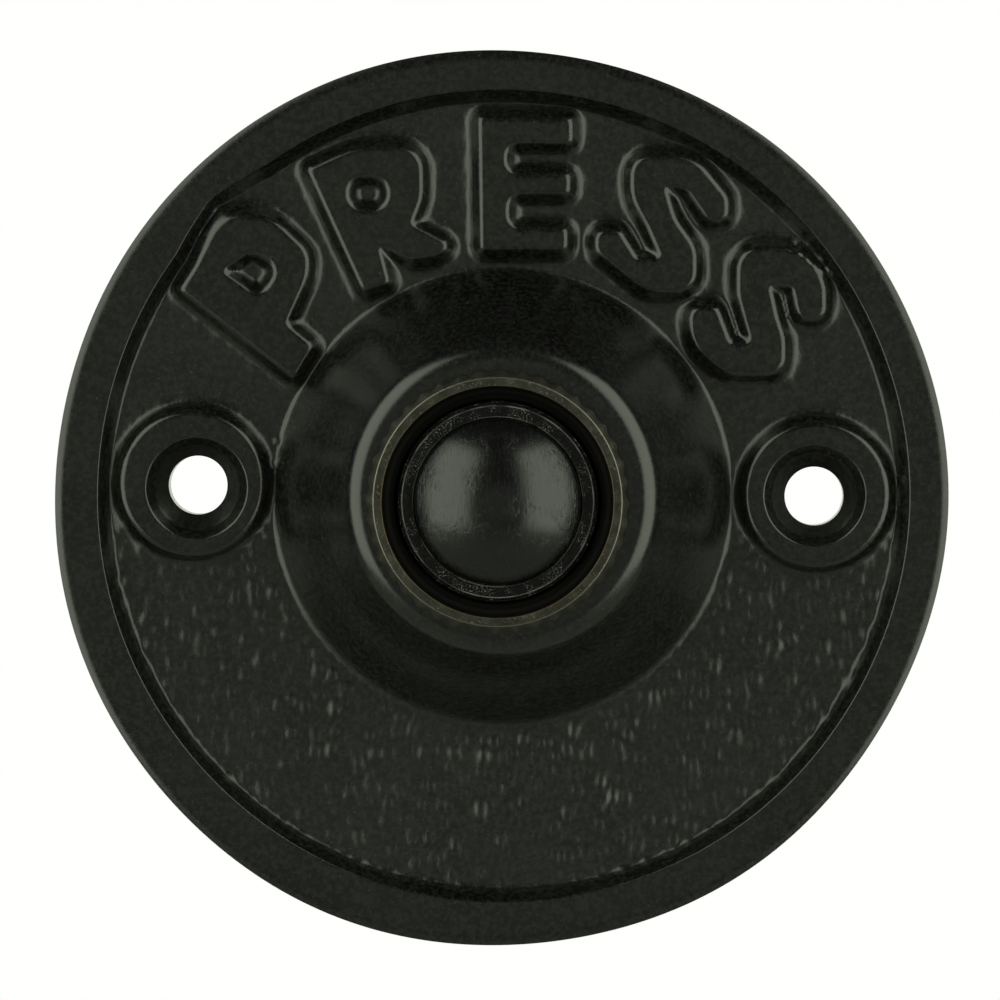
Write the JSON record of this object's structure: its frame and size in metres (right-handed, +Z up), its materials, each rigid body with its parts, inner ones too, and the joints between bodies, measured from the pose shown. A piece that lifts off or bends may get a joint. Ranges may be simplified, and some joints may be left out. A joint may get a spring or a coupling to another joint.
{
  "type": "doorbell push button",
  "caption": "Round cast-iron doorbell push: flared face plate with two countersunk fixing holes, a knurled ring nut and a sprung domed button that closes a pair of contacts.",
  "frame": {"origin": "on the button's axis in the plane of the wall, at the middle of the two fixing holes", "axes": "+X to the right seen from the front, +Y into the wall, +Z up; the front faces -Y"},
  "size_m": [0.076, 0.0179, 0.076],
  "materials": {
    "black_casting": "satin",
    "bronzed_brass": "satin",
    "black_phenolic": "satin",
    "button_phenolic": "gloss",
    "red_fibre": "matte",
    "bright_brass": "satin",
    "plated_steel": "satin",
    "spring_steel": "satin"
  },
  "bodies": {
    "housing": {"face_plate": "black_casting", "ring_nut": "bronzed_brass", "push_barrel": "black_phenolic", "fibre_washer": "red_fibre", "contact_base": "black_phenolic", "fixed_contact_left": "bright_brass", "fixed_contact_right": "bright_brass", "terminal_plate_left": "bright_brass", "terminal_plate_right": "bright_brass", "terminal_bush_left": "bright_brass", "terminal_bush_right": "bright_brass", "terminal_washer_left": "bright_brass", "terminal_washer_right": "bright_brass", "terminal_screw_left": "bright_brass", "terminal_screw_right": "bright_brass", "base_screw_top": "plated_steel", "base_screw_bottom": "plated_steel", "return_spring": "spring_steel"},
    "button": {"button_cap": "button_phenolic", "plunger_pin": "plated_steel", "retaining_clip": "spring_steel", "contact_bridge": "bright_brass"}
  },
  "joints": [
    {"name": "press", "type": "slide", "parent": "housing", "child": "button", "axis": [0, 1, 0], "range_m": [0, 0.0018], "stiffness_N_per_m": 1100, "springref_m": -0.0023, "deforming": ["return_spring"]}
  ]
}
